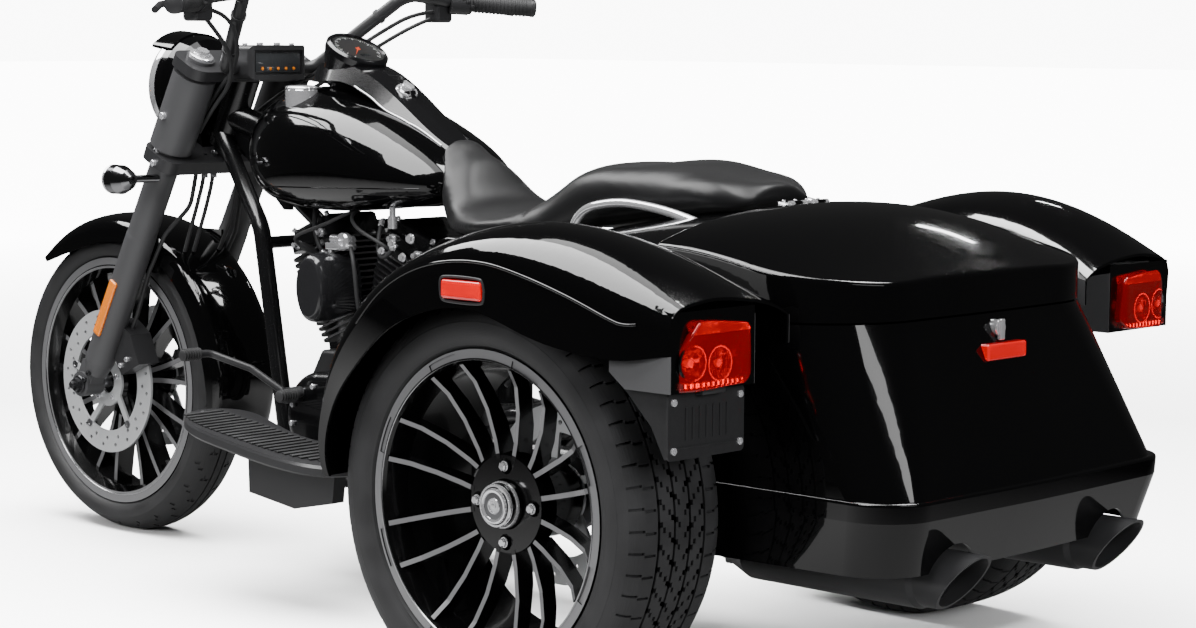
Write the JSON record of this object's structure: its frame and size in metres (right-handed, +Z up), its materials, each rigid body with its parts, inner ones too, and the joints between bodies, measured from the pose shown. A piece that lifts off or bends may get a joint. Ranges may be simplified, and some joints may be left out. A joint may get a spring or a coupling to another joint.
{
  "type": "motorized trike",
  "caption": "Touring trike with a steered front wheel, a driven rear axle under crowned fenders, an air-cooled V-twin and a lidded trunk.",
  "frame": {"origin": "floor, below the centre of the whole vehicle's box", "axes": "+X forward, +Y to the rider's left, +Z up"},
  "size_m": [2.645, 1.404, 1.2659],
  "materials": {
    "gloss_black": "deep gloss black paint",
    "satin_black": "satin black paint",
    "frame_black": "gloss black powder coat",
    "engine_black": "wrinkle black with machined fin edges",
    "cover_black": "gloss black cover",
    "chrome": "polished chrome",
    "rim": "gloss black with machined edges",
    "tyre": "moulded rubber",
    "disc": "ground steel",
    "seat": "matte black grained cover",
    "rubber": "black rubber",
    "red_lens": "red lens",
    "amber_lens": "amber lens",
    "lamp_glass": "clear lamp glass",
    "steel": "bare steel",
    "matte_plastic": "black textured plastic",
    "horn": "dark grey satin"
  },
  "bodies": {
    "chassis": {"frame": "frame_black", "engine_case": "engine_black", "cylinders": "engine_black", "rocker_covers": "cover_black", "pushrod_tubes": "chrome", "primary_cover": "cover_black", "horn_cover": "horn", "air_cleaner": "cover_black", "exhaust_headers": "satin_black", "mufflers": "satin_black", "fuel_tank": "gloss_black", "tank_console": "cover_black", "tank_caps": "chrome", "seat_cowl": "gloss_black", "seat": "seat", "grab_rails": "chrome", "side_covers": "gloss_black", "rear_fender_left": "gloss_black", "rear_fender_right": "gloss_black", "trunk_tub": "gloss_black", "rear_bumper": "gloss_black", "tail_lenses": "red_lens", "plate_bracket": "matte_plastic", "rear_axle": "steel", "rear_calipers": "satin_black", "reflectors": "red_lens", "trunk_lock": "chrome", "lid_hinges": "chrome", "rear_suspension": "frame_black", "belt_drive": "rubber", "footboards": "satin_black", "foot_controls": "satin_black"},
    "lid": {"trunk_lid": "gloss_black"},
    "fork": {"fork_legs": "satin_black", "fork_yokes": "satin_black", "front_axle": "steel", "front_fender": "gloss_black", "headlamp_shell": "gloss_black", "headlamp_lens": "lamp_glass", "handlebar": "satin_black", "riser_cover": "satin_black", "fork_reflectors": "amber_lens", "brake_hoses": "rubber", "grips": "rubber", "hand_controls": "satin_black", "mirrors": "gloss_black", "turn_signals": "satin_black", "front_calipers": "satin_black"},
    "front_wheel": {"front_tyre": "tyre", "front_rim": "rim", "front_discs": "disc"},
    "rear_wheel_left": {"rear_tyre_left": "tyre", "rear_rim_left": "rim", "rear_disc_left": "disc"},
    "rear_wheel_right": {"rear_tyre_right": "tyre", "rear_rim_right": "rim", "rear_disc_right": "disc"}
  },
  "joints": [
    {"name": "steering", "type": "hinge", "parent": "chassis", "child": "fork", "pos_m": [0.66812, 0, 0.89], "axis": [-0.4384, 0, 0.8988], "range_deg": [-35, 35]},
    {"name": "front_wheel_spin", "type": "hinge", "parent": "fork", "child": "front_wheel", "pos_m": [1.0032, 0, 0.3193], "axis": [0, 1, 0], "continuous": true},
    {"name": "rear_wheel_left_spin", "type": "hinge", "parent": "chassis", "child": "rear_wheel_left", "pos_m": [-0.6668, 0.517, 0.3254], "axis": [0, 1, 0], "continuous": true},
    {"name": "rear_wheel_right_spin", "type": "hinge", "parent": "chassis", "child": "rear_wheel_right", "pos_m": [-0.6668, -0.517, 0.3254], "axis": [0, 1, 0], "continuous": true},
    {"name": "trunk_lid_hinge", "type": "hinge", "parent": "chassis", "child": "lid", "pos_m": [-0.8088, 0, 0.776], "axis": [0, 1, 0], "range_deg": [0, 60]}
  ]
}
